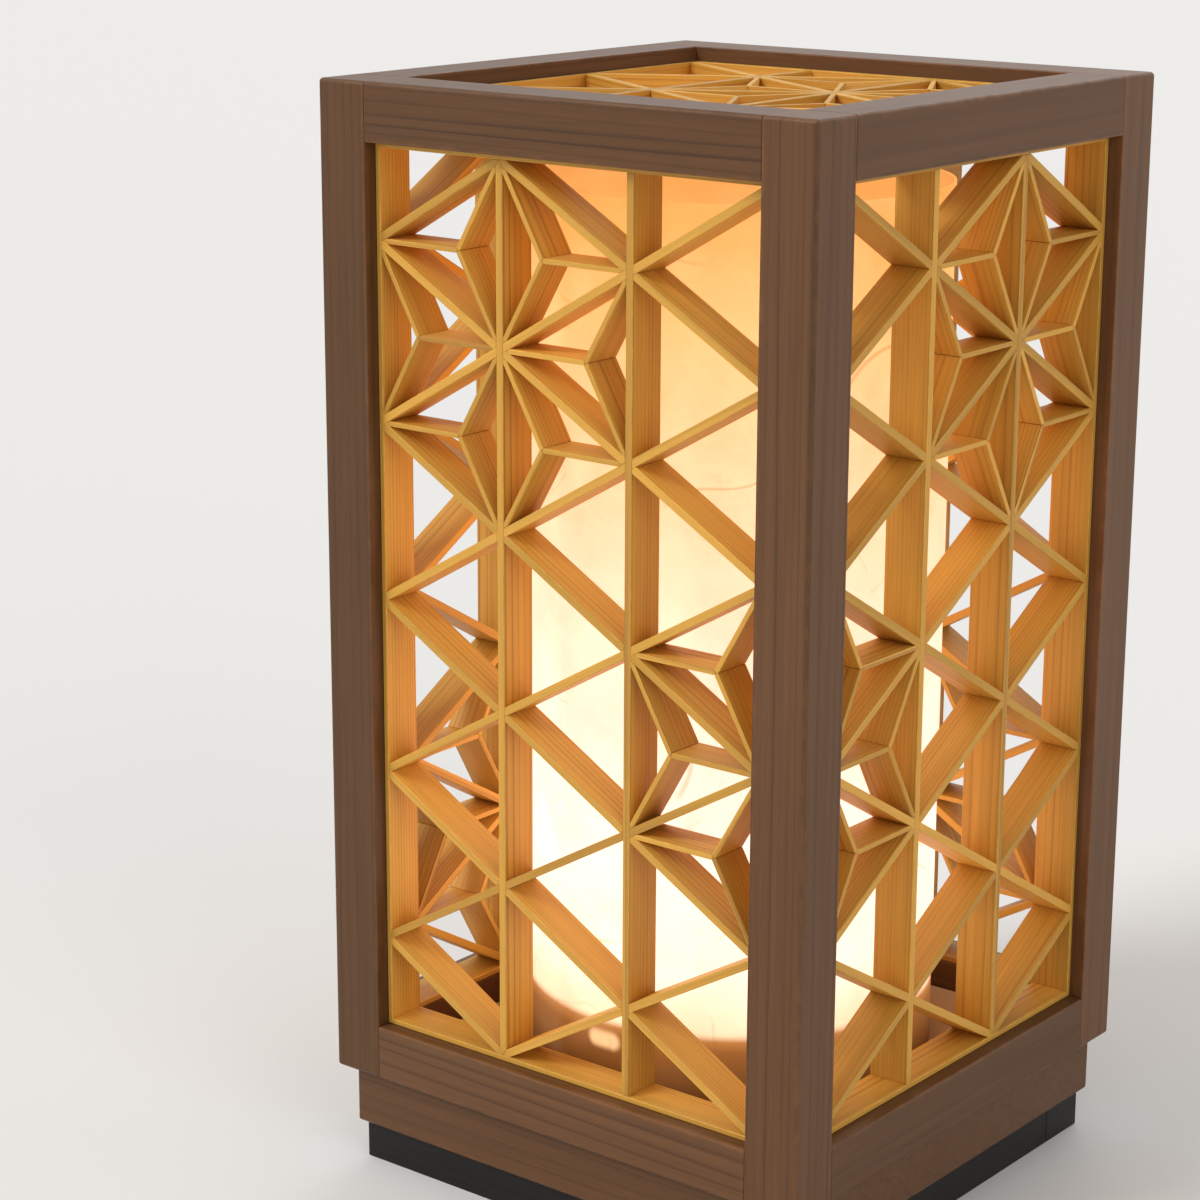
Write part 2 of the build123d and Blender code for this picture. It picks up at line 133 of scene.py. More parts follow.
# ---------------------------------------------------------------- shader nodes
class Tree:
    """Short calls that add nodes to a tree and join them."""

    def __init__(self, tree):
        self.tree = tree

    def add(self, kind, inputs=None, **settings):
        """A new node with some settings, and with values or links for its inputs."""
        node = self.tree.nodes.new(kind)
        for name, value in settings.items():
            setattr(node, name, value)
        for key, value in (inputs or {}).items():
            self.put(node.inputs[key], value)
        return node

    def put(self, socket, value):
        """Link an input to another socket, or set its value."""
        if isinstance(value, bpy.types.NodeSocket):
            self.tree.links.new(value, socket)
        else:
            socket.default_value = value

    def math(self, operation, *values, clamp=False):
        """The result of a sum on numbers."""
        inputs = dict(enumerate(values))
        node = self.add("ShaderNodeMath", inputs, operation=operation, use_clamp=clamp)
        return node.outputs[0]

    def plus(self, first, second):
        return self.math("ADD", first, second)

    def minus(self, first, second, clamp=False):
        return self.math("SUBTRACT", first, second, clamp=clamp)

    def times(self, first, second):
        return self.math("MULTIPLY", first, second)

    def over(self, first, second, clamp=False):
        return self.math("DIVIDE", first, second, clamp=clamp)

    def power(self, base, exponent):
        return self.math("POWER", base, exponent)

    def size(self, value):
        return self.math("ABSOLUTE", value)

    def swing(self, noise, strength):
        """A noise from 0 to 1, as a swing either side of nought."""
        return self.times(self.minus(noise, 0.5), strength)

    def vector(self, operation, *values):
        """The result of a sum on vectors."""
        inputs = dict(enumerate(values))
        return self.add("ShaderNodeVectorMath", inputs, operation=operation).outputs[0]

    def split(self, vector):
        """The X, Y and Z of a vector."""
        return self.add("ShaderNodeSeparateXYZ", {"Vector": vector}).outputs

    def join(self, x, y, z):
        """A vector, or a colour, from its three parts."""
        return self.add("ShaderNodeCombineXYZ", {"X": x, "Y": y, "Z": z}).outputs[0]

    def mix(self, factor, first, second, blend="MIX"):
        """One colour mixed into another."""
        inputs = {0: factor, 6: first, 7: second}
        return self.add("ShaderNodeMix", inputs, data_type="RGBA", blend_type=blend).outputs[2]

    def ramp(self, value, low, high, start=0.0, end=1.0):
        """Goes smoothly from start to end while the value goes from low to high."""
        inputs = dict(enumerate((value, low, high, start, end)))
        return self.add("ShaderNodeMapRange", inputs, interpolation_type="SMOOTHSTEP").outputs[0]

    def spread(self, draw, least, most):
        """A draw from 0 to 1, spread between two values."""
        return self.ramp(draw, 0.0, 1.0, least, most)

    def noise(self, vector, scale, detail=2.0, roughness=0.5):
        """Smooth noise from 0 to 1."""
        inputs = {"Vector": vector, "Scale": scale, "Detail": detail, "Roughness": roughness}
        return self.add("ShaderNodeTexNoise", inputs).outputs[0]

    def stretched_noise(self, vector, scales, detail, roughness=0.5):
        """Smooth noise with its own scale on each axis."""
        return self.noise(self.vector("MULTIPLY", vector, scales), 1.0, detail, roughness)

    def white_noise(self, seed):
        """The number and the colour drawn for a seed."""
        return self.add("ShaderNodeTexWhiteNoise", {"W": seed}, noise_dimensions="1D").outputs

    def attribute(self, name, output="Vector"):
        """An attribute of the piece's own mesh."""
        return self.add("ShaderNodeAttribute", attribute_name=name).outputs[output]

    def place(self):
        """The place on the piece, in its own frame."""
        return self.add("ShaderNodeTexCoord").outputs["Object"]

    def bump(self, height, strength, distance):
        """A normal raised by a height."""
        inputs = {"Height": height, "Strength": strength, "Distance": distance}
        return self.add("ShaderNodeBump", inputs).outputs["Normal"]


def new_group(name, inputs, outputs):
    """A shader group with named sockets; gives the group, its tree, and its two end nodes."""
    group = bpy.data.node_groups.new(name, "ShaderNodeTree")
    for in_out, sockets in (("INPUT", inputs), ("OUTPUT", outputs)):
        for socket_name, kind in sockets:
            group.interface.new_socket(
                socket_name, in_out=in_out, socket_type="NodeSocket" + kind
            )
    tree = Tree(group)
    return group, tree, tree.add("NodeGroupInput").outputs, tree.add("NodeGroupOutput").inputs


# Noise scales a metre: along a stick, and the two ways across it.
RING_WANDER = (2.5, 150.0, 150.0)
FINE_FIBRE = (70.0, 2600.0, 2600.0)
STREAK = (14.0, 420.0, 420.0)
BLOTCH = (18.0, 60.0, 60.0)

# Least and most that a draw gives.
STICK_SPACING = (0.75, 1.7)  # ring spacing of one stick, as a share of the wood's
STICK_CONTRAST = (0.55, 1.0)  # strength of the rings of one stick
RING_CONTRAST = (0.30, 1.0)  # strength of one ring among them
STICK_TONE = (0.86, 1.12)  # brightness of one stick

WANDER_RINGS = 2.6  # rings that a line may wander by
LATE_START = 0.05  # share of a ring at which it starts to darken
LATE_PEAK = 0.93  # share of a ring at which it is darkest
LATE_POWER = 6.0  # how narrow the dark line is
BLOTCH_STRENGTH = 0.22
BLUE_POWER = 1.25  # darker places lose more blue
RUBBED = (1.45, 1.42, 1.38, 1.0)  # what rubbing multiplies the colour by
FIBRE_ROUGHNESS = 0.22
RING_SHINE = 0.06  # how much smoother the dark lines are
RUBBED_SHINE = 0.08  # how much smoother rubbed wood is
FIBRE_RELIEF = 0.6
RING_RELIEF = 0.4


def straight_grain():
    """Quarter-sawn wood: ring lines along the piece, fine fibres and a tone for each stick."""
    name = "straight_grain"
    if name in bpy.data.node_groups:
        return bpy.data.node_groups[name]
    group, tree, given, out = new_group(
        name,
        (
            ("Grain", "Vector"),
            ("Tone", "Float"),
            ("Ring Spacing", "Float"),
            ("Ring Tilt", "Float"),
            ("Ring Strength", "Float"),
            ("Fibre Strength", "Float"),
            ("Polish", "Float"),
            ("Wear", "Float"),
            ("Early Wood", "Color"),
            ("Late Wood", "Color"),
        ),
        (("Color", "Color"), ("Roughness", "Float"), ("Height", "Float")),
    )
    grain, tilt = given["Grain"], given["Ring Tilt"]
    part = tree.split(grain)
    draw = tree.split(tree.white_noise(given["Tone"])["Color"])

    level = tree.times(part["Z"], tree.math("COSINE", tilt))
    depth = tree.plus(level, tree.times(part["Y"], tree.math("SINE", tilt)))
    spacing = tree.times(given["Ring Spacing"], tree.spread(draw["X"], *STICK_SPACING))
    wander = tree.stretched_noise(grain, RING_WANDER, detail=1.0)
    phase = tree.plus(tree.over(depth, spacing), tree.times(wander, WANDER_RINGS))
    along_ring = tree.math("FRACT", phase)
    line = tree.power(tree.ramp(along_ring, LATE_START, LATE_PEAK), LATE_POWER)
    line = tree.times(line, tree.ramp(along_ring, LATE_PEAK, 1.0, start=1.0, end=0.0))
    season = tree.white_noise(tree.math("FLOOR", phase))[0]
    strength = tree.times(given["Ring Strength"], tree.spread(season, *RING_CONTRAST))
    strength = tree.times(strength, tree.spread(draw["Y"], *STICK_CONTRAST))
    ring = tree.times(line, strength)

    fibre = tree.stretched_noise(grain, FINE_FIBRE, detail=3.0, roughness=0.6)
    streak = tree.stretched_noise(grain, STREAK, detail=2.0)
    blotch = tree.stretched_noise(grain, BLOTCH, detail=2.0)
    fibre_strength = given["Fibre Strength"]
    shade = tree.plus(tree.swing(fibre, fibre_strength), tree.swing(streak, fibre_strength))
    shade = tree.plus(shade, tree.swing(blotch, BLOTCH_STRENGTH))
    shade = tree.plus(shade, tree.spread(given["Tone"], *STICK_TONE))
    grey = tree.join(shade, shade, tree.power(shade, BLUE_POWER))
    wood = tree.mix(ring, given["Early Wood"], given["Late Wood"])
    toned = tree.mix(1.0, wood, grey, "MULTIPLY")
    rubbed = tree.mix(1.0, toned, RUBBED, "MULTIPLY")
    tree.put(out["Color"], tree.mix(given["Wear"], toned, rubbed))

    rough = tree.minus(tree.swing(fibre, FIBRE_ROUGHNESS), tree.times(ring, RING_SHINE))
    rough = tree.minus(rough, tree.times(given["Wear"], RUBBED_SHINE))
    tree.put(out["Roughness"], tree.plus(rough, given["Polish"]))
    relief = tree.plus(tree.times(fibre, FIBRE_RELIEF), tree.times(ring, RING_RELIEF))
    tree.put(out["Height"], relief)
    return group


RUBBING_SCALE = 260.0  # noise scale a metre
RUBBED_REACH = (0.3, 1.6)  # least and most of the reach that is rubbed


def edge_wear():
    """Rubbed edges: how close a place is to an edge of its own stick, broken up by noise."""
    name = "edge_wear"
    if name in bpy.data.node_groups:
        return bpy.data.node_groups[name]
    group, tree, given, out = new_group(
        name,
        (("Inside", "Vector"), ("Half Size", "Vector"), ("Reach", "Float")),
        (("Wear", "Float"),),
    )
    inward = tree.vector("SUBTRACT", given["Half Size"], tree.vector("ABSOLUTE", given["Inside"]))
    x, y, z = tree.split(inward)
    least = tree.math("MINIMUM", tree.math("MINIMUM", x, y), z)
    most = tree.math("MAXIMUM", tree.math("MAXIMUM", x, y), z)
    total = tree.plus(tree.plus(x, y), z)
    from_edge = tree.minus(tree.minus(total, least), most)
    least_rubbed, most_rubbed = RUBBED_REACH
    rubbing = tree.noise(given["Inside"], RUBBING_SCALE, detail=3.0)
    uneven = tree.ramp(rubbing, low=0.3, high=0.75, start=least_rubbed, end=most_rubbed)
    share = tree.over(from_edge, tree.times(given["Reach"], uneven), clamp=True)
    tree.put(out["Wear"], tree.minus(1.0, share, clamp=True))
    return group


# Seed, noise scale, width, noise from which it shows, and weight of each kind of fibre.
FIBRES = (
    (0.0, 34.0, 0.013, 0.60, 1.0),
    (5.3, 47.0, 0.015, 0.62, 0.75),
    (9.1, 88.0, 0.018, 0.60, 0.40),
)
SEED_WAY = (1.0, 0.7, 1.3)  # way that a seed moves the noise
PATCH_SCALE = 0.9  # noise scale of the patches with fibres, as a share of the fibres'
PATCH_EDGE = 0.06
CLOUD_SCALE = 85.0
PULP_SCALE = 900.0
CLOUD_SHARE = 0.75  # the rest of the unevenness is pulp
PULP_RELIEF = 0.5


def washi_sheet():
    """Handmade paper: long curved fibres and cloudy thickness."""
    name = "washi_sheet"
    if name in bpy.data.node_groups:
        return bpy.data.node_groups[name]
    group, tree, given, out = new_group(
        name,
        (("Place", "Vector"),),
        (("Fibres", "Float"), ("Cloud", "Float"), ("Height", "Float")),
    )
    place = given["Place"]
    fibres = 0.0
    for seed, scale, width, shown, weight in FIBRES:
        moved = tree.vector("ADD", place, [seed * way for way in SEED_WAY])
        swirl = tree.noise(moved, scale, detail=0.4)
        off_line = tree.size(tree.minus(swirl, 0.5))
        line = tree.ramp(off_line, low=0.0, high=width, start=weight, end=0.0)
        patch = tree.noise(moved, scale * PATCH_SCALE, detail=0.0)
        patch = tree.ramp(patch, low=shown, high=shown + PATCH_EDGE)
        fibres = tree.math("MAXIMUM", tree.times(line, patch), fibres)
    cloud = tree.noise(place, CLOUD_SCALE, detail=5.0, roughness=0.62)
    pulp = tree.noise(place, PULP_SCALE, detail=2.0, roughness=0.6)
    cloudy = tree.plus(tree.times(cloud, CLOUD_SHARE), tree.times(pulp, 1 - CLOUD_SHARE))
    tree.put(out["Fibres"], fibres)
    tree.put(out["Cloud"], cloudy)
    tree.put(out["Height"], tree.plus(tree.times(pulp, PULP_RELIEF), fibres))
    return group


# ---------------------------------------------------------------- materials
def new_material(name, **sockets):
    """A material with one principled shader; gives the material, its tree and that shader."""
    material = bpy.data.materials.new(name)
    material.use_nodes = True
    shader = material.node_tree.nodes["Principled BSDF"]
    for key, value in sockets.items():
        shader.inputs[key.replace("_", " ")].default_value = value
    return material, Tree(material.node_tree), shader


def opaque(tint):
    """A colour with full alpha."""
    return (*tint, 1.0)


GRAIN_HEIGHT = 0.12 * MM


def wood_material(
    name, early, late, *, spacing, tilt, ring, fibre, polish, bump, specular, wear_reach
):
    """Wood whose grain follows each stick's own length."""
    if name in bpy.data.materials:
        return bpy.data.materials[name]
    material, tree, shader = new_material(name, Specular_IOR_Level=specular)
    worn_edges = {
        "Inside": tree.attribute("inside"),
        "Half Size": tree.attribute("half_size"),
        "Reach": wear_reach,
    }
    wear = tree.add("ShaderNodeGroup", worn_edges, node_tree=edge_wear()).outputs["Wear"]
    settings = {
        "Grain": tree.attribute("grain"),
        "Tone": tree.attribute("tone", "Fac"),
        "Ring Spacing": spacing,
        "Ring Tilt": tilt,
        "Ring Strength": ring,
        "Fibre Strength": fibre,
        "Polish": polish,
        "Wear": wear,
        "Early Wood": opaque(early),
        "Late Wood": opaque(late),
    }
    wood = tree.add("ShaderNodeGroup", settings, node_tree=straight_grain()).outputs
    tree.put(shader.inputs["Base Color"], wood["Color"])
    tree.put(shader.inputs["Roughness"], wood["Roughness"])
    tree.put(shader.inputs["Normal"], tree.bump(wood["Height"], bump, GRAIN_HEIGHT))
    return material


def hinoki(context):
    """Pale close-grained wood of the lattice."""
    colours = context.scene.andon_colours
    return wood_material(
        "hinoki_lattice",
        colours.hinoki_early,
        colours.hinoki_late,
        spacing=1.3 * MM,
        tilt=0.12,
        ring=0.85,
        fibre=0.30,
        polish=0.52,
        bump=0.30,
        specular=0.35,
        wear_reach=0.14 * MM,
    )


def cedar(context):
    """Warm brown wood of the frame and the base board."""
    colours = context.scene.andon_colours
    return wood_material(
        "cedar_frame",
        colours.cedar_early,
        colours.cedar_late,
        spacing=1.7 * MM,
        tilt=0.62,
        ring=0.80,
        fibre=0.40,
        polish=0.46,
        bump=0.40,
        specular=0.30,
        wear_reach=0.9 * MM,
    )


def plain_wood(context):
    """Unstained wood inside the lamp."""
    colours = context.scene.andon_colours
    return wood_material(
        "plain_wood",
        colours.plain_early,
        colours.plain_late,
        spacing=3.4 * MM,
        tilt=0.75,
        ring=0.8,
        fibre=0.40,
        polish=0.58,
        bump=0.4,
        specular=0.35,
        wear_reach=0.6 * MM,
    )


def black_wood(context):
    """Near-black wood of the plinth, with its grain just showing."""
    colours = context.scene.andon_colours
    return wood_material(
        "black_stained_wood",
        colours.black_early,
        colours.black_late,
        spacing=2.0 * MM,
        tilt=0.7,
        ring=0.8,
        fibre=0.5,
        polish=0.46,
        bump=0.6,
        specular=0.20,
        wear_reach=0.7 * MM,
    )


GLOW_STRENGTH = 1.5
INSIDE_SHARE = 0.7  # glow of the paper's inner face, as a share of its outer face's
# Colour of the glow at heights in millimetres.
PAPER_GLOW = (
    (30.0, (0.040, 0.011, 0.002)),
    (42.5, (0.200, 0.063, 0.011)),
    (45.0, (0.350, 0.127, 0.030)),
    (46.8, (0.77, 0.53, 0.33)),
    (60.0, (0.97, 0.67, 0.52)),
    (84.0, (1.00, 0.67, 0.58)),
    (108.0, (0.95, 0.60, 0.49)),
    (132.0, (0.88, 0.55, 0.40)),
    (160.0, (0.81, 0.46, 0.27)),
    (204.0, (0.75, 0.355, 0.120)),
    (222.0, (0.70, 0.267, 0.057)),
)
RING_TOP = 45.6 * MM
RING_EDGE = 1.0 * MM  # softness of the shadow at the ring's top
# Painted shade: the ring's shadow, as the unlit paper's colour below the ring's top.
PAINTED_RING_SHADOW = (0.13, 0.075, 0.030)
FIBRE_COLOUR = (0.26, 0.16, 0.08)
FIBRE_COVER = 0.5  # how much of the unlit paper's colour a fibre hides
FIBRE_SHADE = 0.24  # how much of the glow a fibre holds back
THICK_GLOW, THIN_GLOW = 0.92, 1.05  # glow through the thickest and the thinnest paper
GREEN_VEIL, BLUE_VEIL = 1.3, 1.9  # powers by which thick paper holds back green and blue
PAPER_RELIEF = 0.10 * MM
VENT_GLOW = (0.75, 0.41, 0.19)
VENT_LEVEL = 41.4 * MM
VENT_HALF_LENGTH = 4.0 * MM
VENT_HALF_HEIGHT = 1.7 * MM
SPOT_FULL, SPOT_GONE = 0.5 * VENT_HALF_HEIGHT, 1.7 * VENT_HALF_HEIGHT  # off a vent's middle line


def washi(context, name="washi_paper", share=1.0):
    """Lit paper: brightest beside the bulb, dim before the ring, with a spot at each vent; below
    the ring's top a painted shadow of the ring darkens its unlit colour.
    """
    if name in bpy.data.materials:
        return bpy.data.materials[name]
    strength = share * GLOW_STRENGTH
    material, tree, shader = new_material(name, Roughness=0.85, Emission_Strength=strength)
    place = tree.place()
    part = tree.split(place)
    sheet = tree.add("ShaderNodeGroup", {"Place": place}, node_tree=washi_sheet()).outputs

    low, high = PAPER_GLOW[0][0] * MM, PAPER_GLOW[-1][0] * MM
    level = tree.over(tree.minus(part["Z"], low), high - low, clamp=True)
    glow = tree.add("ShaderNodeValToRGB", {"Fac": level})
    stops = glow.color_ramp.elements
    for height, tint in PAPER_GLOW[1:-1]:
        stops.new((height * MM - low) / (high - low))
    for stop, (height, tint) in zip(stops, PAPER_GLOW):
        stop.color = opaque(tint)

    across = tree.math("MINIMUM", tree.size(part["X"]), tree.size(part["Y"]))
    beyond = tree.minus(across, VENT_HALF_LENGTH - VENT_HALF_HEIGHT)
    beyond = tree.math("MAXIMUM", beyond, 0.0)
    rise = tree.size(tree.minus(part["Z"], VENT_LEVEL))
    away = tree.math("SQRT", tree.plus(tree.power(beyond, 2.0), tree.power(rise, 2.0)))
    spot = tree.ramp(away, SPOT_FULL, SPOT_GONE, start=1.0, end=0.0)
    lit = tree.mix(spot, glow.outputs["Color"], opaque(VENT_GLOW))

    thin = tree.ramp(sheet["Cloud"], low=0.25, high=0.75, start=THICK_GLOW, end=THIN_GLOW)
    thin = tree.times(thin, tree.minus(1.0, tree.times(sheet["Fibres"], FIBRE_SHADE)))
    veil = tree.join(thin, tree.power(thin, GREEN_VEIL), tree.power(thin, BLUE_VEIL))
    tree.put(shader.inputs["Emission Color"], tree.mix(1.0, lit, veil, "MULTIPLY"))

    paper = opaque(context.scene.andon_colours.paper)
    unlit = tree.mix(tree.times(sheet["Fibres"], FIBRE_COVER), paper, opaque(FIBRE_COLOUR))
    # Painted shade: below the ring's top the unlit paper turns to the ring's painted shadow
    # colour.
    above_ring_shadow = tree.ramp(part["Z"], RING_TOP - RING_EDGE, RING_TOP + RING_EDGE)
    tree.put(shader.inputs["Base Color"], tree.mix(above_ring_shadow, opaque(PAINTED_RING_SHADOW), unlit))
    relief = tree.bump(sheet["Height"], strength=0.35, distance=PAPER_RELIEF)
    tree.put(shader.inputs["Normal"], relief)
    return material


BROAD_SCALE = 0.08  # noise scale of the broad unevenness, as a share of the fine one's
ROUGH_SWING = 0.2  # how far the roughness strays either way, as a share
SPECKLE_HEIGHT = 0.05 * MM


def speckled(name, base, *, metallic, roughness, scale, change, bump, **sockets):
    """A smooth finish with a fine uneven surface: glaze, glass, brass, steel or rubber."""
    if name in bpy.data.materials:
        return bpy.data.materials[name]
    material, tree, shader = new_material(name, Metallic=metallic, **sockets)
    place = tree.place()
    fine = tree.noise(place, scale, detail=4.0, roughness=0.6)
    broad = tree.ramp(tree.noise(place, scale * BROAD_SCALE, detail=3.0), low=0.35, high=0.65)
    darker = tuple(channel * (1 - change) for channel in base)
    smoother, rougher = roughness * (1 - ROUGH_SWING), roughness * (1 + ROUGH_SWING)
    rough = tree.ramp(fine, low=0.3, high=0.7, start=smoother, end=rougher)
    tree.put(shader.inputs["Base Color"], tree.mix(broad, opaque(base), opaque(darker)))
    tree.put(shader.inputs["Roughness"], rough)
    tree.put(shader.inputs["Normal"], tree.bump(fine, bump, SPECKLE_HEIGHT))
    return material


def glaze(context):
    """White glazed ceramic."""
    return speckled(
        "ceramic_glaze",
        context.scene.andon_colours.ceramic,
        metallic=0.0,
        roughness=0.18,
        scale=900,
        change=0.05,
        bump=0.10,
        Coat_Weight=0.6,
    )


def brass(context):
    """Rolled brass of the cap and the socket."""
    return speckled(
        "rolled_brass",
        (0.78, 0.58, 0.27),
        metallic=1.0,
        roughness=0.28,
        scale=2600,
        change=0.15,
        bump=0.15,
    )


def steel(context):
    """Plated steel of the screws and the contacts."""
    return speckled(
        "plated_steel",
        (0.60, 0.60, 0.61),
        metallic=1.0,
        roughness=0.30,
        scale=2600,
        change=0.12,
        bump=0.15,
    )


def rubber(context):
    """Black rubber of the cord bush."""
    return speckled(
        "black_rubber",
        (0.020, 0.020, 0.020),
        metallic=0.0,
        roughness=0.62,
        scale=1800,
        change=0.2,
        bump=0.4,
    )


def black_glass(context):
    """Black glass round the bulb's contact."""
    return speckled(
        "black_glass",
        (0.012, 0.012, 0.014),
        metallic=0.0,
        roughness=0.10,
        scale=900,
        change=0.1,
        bump=0.05,
    )


def clear_glass(context):
    """Clear glass of the stem."""
    return speckled(
        "clear_glass",
        (0.95, 0.97, 0.97),
        metallic=0.0,
        roughness=0.05,
        scale=900,
        change=0.02,
        bump=0.02,
        Transmission_Weight=1.0,
    )


FILAMENT_LEVEL = 74.0 * MM
HOT_GLOW, COOL_GLOW = (1.0, 0.88, 0.62), (0.80, 0.52, 0.24)
HOT_REACH, COOL_REACH = 2 * MM, 22 * MM  # heights off the filament between which it cools
FROST_LIGHT, FROST_DARK = (0.86, 0.84, 0.80), (0.78, 0.76, 0.72)
FROST_SCALE = 3000.0
FROST_HEIGHT = 0.03 * MM


def frosted_glass(context):
    """Lit frosted glass of the bulb, brighter round its filament."""
    name = "frosted_glass"
    if name in bpy.data.materials:
        return bpy.data.materials[name]
    material, tree, shader = new_material(name, Roughness=0.55, Emission_Strength=1.6)
    place = tree.place()
    away = tree.size(tree.minus(tree.split(place)["Z"], FILAMENT_LEVEL))
    cooling = tree.ramp(away, HOT_REACH, COOL_REACH)
    warm = tree.mix(cooling, opaque(HOT_GLOW), opaque(COOL_GLOW))
    frost = tree.noise(place, FROST_SCALE, detail=2.0)
    tree.put(shader.inputs["Emission Color"], warm)
    tree.put(shader.inputs["Base Color"], tree.mix(frost, opaque(FROST_LIGHT), opaque(FROST_DARK)))
    relief = tree.bump(frost, strength=0.2, distance=FROST_HEIGHT)
    tree.put(shader.inputs["Normal"], relief)
    return material


def plain_floor(context):
    """Matt pale floor."""
    name = "pale_floor"
    if name in bpy.data.materials:
        return bpy.data.materials[name]
    base = opaque(context.scene.andon_colours.floor)
    return new_material(name, Base_Color=base, Roughness=0.9)[0]


# ---------------------------------------------------------------- meshes
def finish_piece(name, bm, material, body, node):
    """Make a piece from a bmesh, with a finish, and put it on its body in place of its node."""
    mesh = bpy.data.meshes.new(name)
    bm.to_mesh(mesh)
    bm.free()
    mesh.materials.append(material)
    piece = bpy.data.objects.new(name, mesh)
    bpy.context.scene.collection.objects.link(piece)
    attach(piece, body)
    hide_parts(node)
    return piece


def merged_copy(node):
    """A bmesh copy of a node with its triangles joined into whole faces."""
    bm = bmesh.new()
    bm.from_mesh(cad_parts[node].data)
    bmesh.ops.remove_doubles(bm, verts=bm.verts, dist=WELD)
    flat = math.radians(0.5)
    bmesh.ops.dissolve_limit(bm, angle_limit=flat, verts=bm.verts, edges=bm.edges)
    return bm


# Facets across an eased edge.
TIMBER_STEPS = 2
STICK_STEPS = 1
HOLDER_STEPS = 2
FITTING_STEPS = 3


def ease_edges(bm, width, facets, sharp):
    """Round every outward edge sharper than an angle in degrees."""
    edges = [
        edge
        for edge in bm.edges
        if edge.is_manifold and edge.is_convex and edge.calc_face_angle() > math.radians(sharp)
    ]
    bmesh.ops.bevel(
        bm,
        geom=edges,
        offset=width,
        offset_type="OFFSET",
        segments=facets,
        profile=0.5,
        affect="EDGES",
        clamp_overlap=True,
        material=-1,
    )


def sticks(mesh):
    """The separate sticks of a mesh, each as the list of its vertex numbers."""
    joined = {vertex.index: set() for vertex in mesh.vertices}
    for edge in mesh.edges:
        first, second = edge.vertices
        joined[first].add(second)
        joined[second].add(first)
    found, seen = [], set()
    for start in range(len(mesh.vertices)):
        if start in seen:
            continue
        stick, waiting = [], [start]
        seen.add(start)
        while waiting:
            vertex = waiting.pop()
            stick.append(vertex)
            fresh = joined[vertex] - seen
            seen |= fresh
            waiting.extend(fresh)
        found.append(sorted(stick))
    return found


CLEARLY_LONGER = 1.001
FORWARD = Vector((1, 0.1, 0.01))  # a stick's grain runs this way rather than back


def longest_way(mesh, stick):
    """The direction of a stick's longest edge."""
    members = set(stick)
    best, longest = X, 0.0
    for edge in mesh.edges:
        first, second = edge.vertices
        if first in members:
            way = mesh.vertices[second].co - mesh.vertices[first].co
            if way.length > longest * CLEARLY_LONGER:
                longest, best = way.length, way
    best = best.normalized()
    return -best if best.dot(FORWARD) < 0 else best


GRAIN_SHIFT = 0.4  # each stick is cut from its own place in the wood, up to this far away


def lay_grain(piece, depth, seed, along=None):
    """Write each stick's own grain coordinates and tone, which its wood reads."""
    mesh = piece.data
    draw = random.Random(seed)
    count = len(mesh.vertices)
    grain, inside, half_size = ([0.0] * (3 * count) for values in range(3))
    tone = [0.0] * count
    for stick in sticks(mesh):
        way = along or longest_way(mesh, stick)
        axes = (way, depth.cross(way).normalized(), depth)
        shift = Vector([draw.uniform(-GRAIN_SHIFT, GRAIN_SHIFT) for axis in axes])
        stick_tone = draw.random()
        places = [
            Vector([mesh.vertices[index].co.dot(axis) for axis in axes]) for index in stick
        ]
        low = Vector([min(part) for part in zip(*places)])
        high = Vector([max(part) for part in zip(*places)])
        for index, place in zip(stick, places):
            own = place - (low + high) / 2
            inside[3 * index : 3 * index + 3] = own
            grain[3 * index : 3 * index + 3] = own + shift
            half_size[3 * index : 3 * index + 3] = (high - low) / 2
            tone[index] = stick_tone
    for name, values in (("grain", grain), ("inside", inside), ("half_size", half_size)):
        mesh.attributes.new(name, "FLOAT_VECTOR", "POINT").data.foreach_set("vector", values)
    mesh.attributes.new("tone", "FLOAT", "POINT").data.foreach_set("value", tone)


TIMBER_SHARP = 25.0  # degrees from which a timber's edge is eased


def timber(node, material, body, width, depth, along=None, facets=TIMBER_STEPS):
    """A wooden node with its edges eased and its grain laid along it."""
    bm = merged_copy(node)
    ease_edges(bm, width, facets, TIMBER_SHARP)
    piece = finish_piece(f"{node}_timber", bm, material, body, node)
    lay_grain(piece, depth, node, along)
    return piece


def smooth(piece, angle):
    """Shade a piece smooth, apart from edges sharper than an angle in degrees."""
    piece.data.shade_smooth()
    piece.data.set_sharp_from_angle(angle=math.radians(angle))


FITTING_SHARP = 30.0  # degrees from which a fitting's edge is eased
FITTING_SMOOTH = 32.0
TURNED_SMOOTH = 60.0


def fitting(node, material, body, width, facets=FITTING_STEPS):
    """A metal, glass, ceramic or rubber node with its edges eased."""
    bm = merged_copy(node)
    ease_edges(bm, width, facets, FITTING_SHARP)
    smooth(finish_piece(f"{node}_finish", bm, material, body, node), FITTING_SMOOTH)


THREAD_PITCH = 2.4 * MM
THREAD_DEPTH = 0.20 * MM
THREAD_STEPS = 10
TUBE_WALL = 0.25 * MM


def threaded_tube(low, high, radius):
    """The outline of a thin tube with a rolled thread between two heights."""
    rows = int((high - low) / THREAD_PITCH * THREAD_STEPS)
    outer = []
    for row in range(rows + 1):
        height = low + (high - low) * row / rows
        dip = 0.5 - 0.5 * math.cos(2 * math.pi * (height - low) / THREAD_PITCH)
        outer.append((radius - THREAD_DEPTH * dip, height))
    return outer + [(across - TUBE_WALL, height) for across, height in reversed(outer)]


NECK_RADIUS = 7.6 * MM
SHOULDER_RISE = 10.0 * MM
DOME_RISE = 12.0 * MM
CURVE_STEPS = 14


